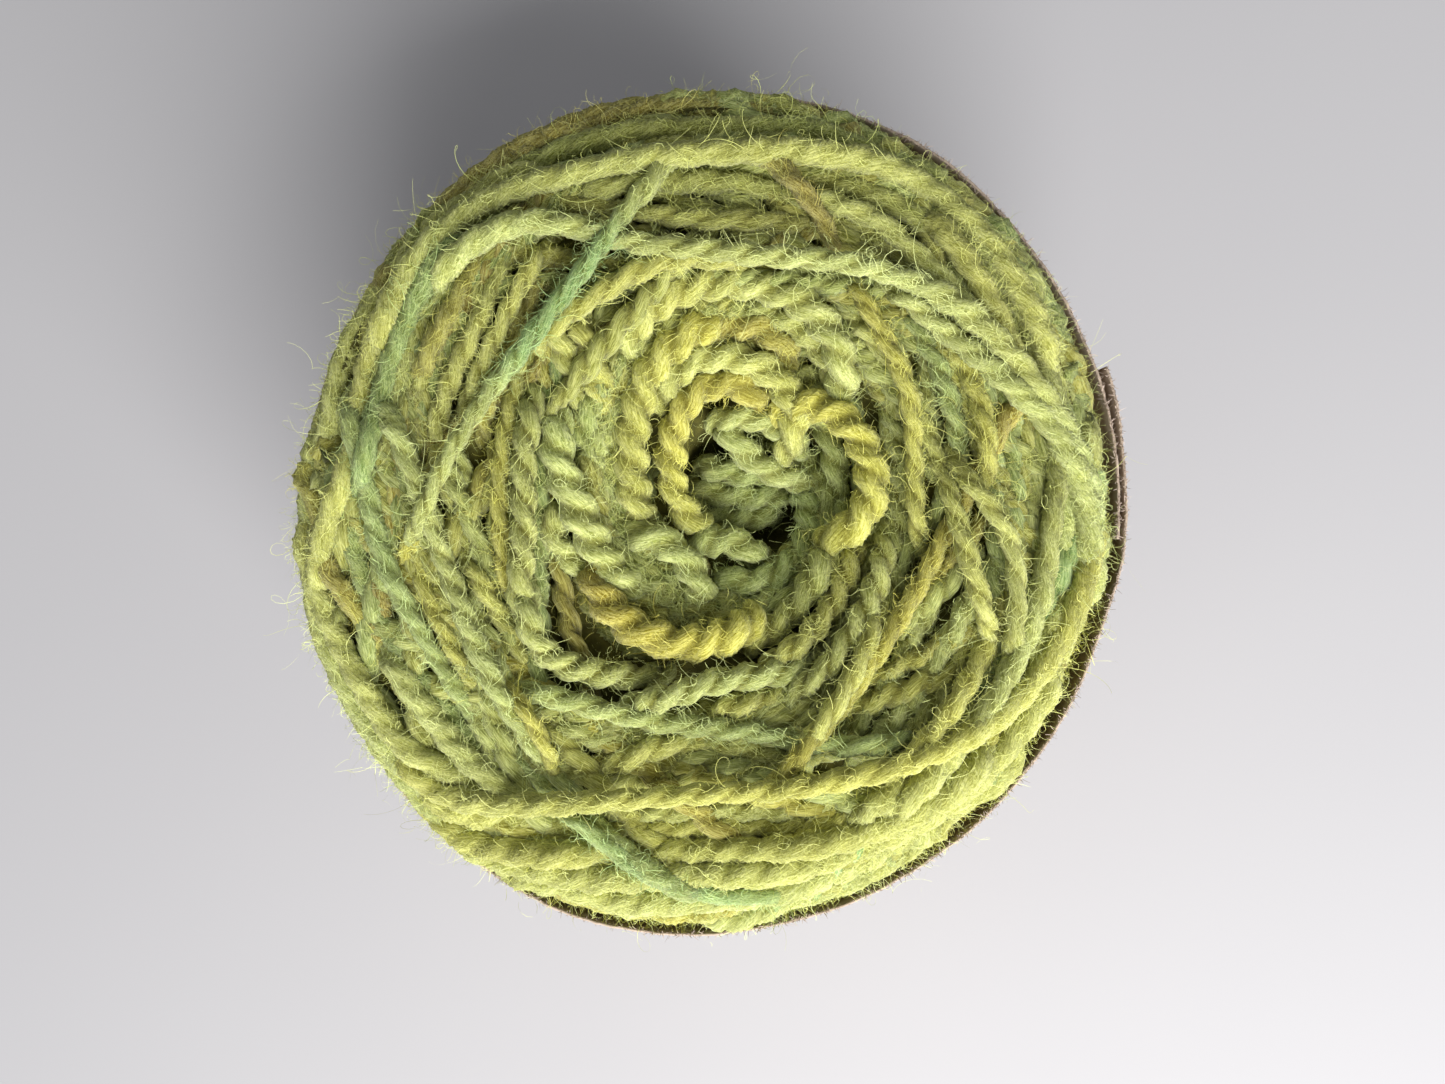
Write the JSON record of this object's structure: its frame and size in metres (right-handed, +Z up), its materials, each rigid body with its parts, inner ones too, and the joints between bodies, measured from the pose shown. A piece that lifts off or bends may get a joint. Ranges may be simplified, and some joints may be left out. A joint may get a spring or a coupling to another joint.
{
  "type": "yarn cake",
  "caption": "Centre-pull cake of plied wool yarn with crossing strands, relaxed loops round a sunken centre, and a plain paper band round its side",
  "frame": {"origin": "The middle of the flat base, level with the surface the cake stands on.", "axes": "+Z is up along the cake's axis. +X points to the right of the picture and +Y to its top. The band's outer end is 20 degrees from +X towards +Y."},
  "size_m": [0.0833, 0.0856, 0.0555],
  "materials": {
    "yellow_green_wool": "matt, fuzzy, hand-dyed yellow-green with mint and golden stretches",
    "brown_paper": "plain uncoated brown paper with a rough pale cut edge"
  },
  "bodies": {
    "root": {"yarn_cake": "yellow_green_wool", "paper_band": "brown_paper"}
  },
  "joints": []
}
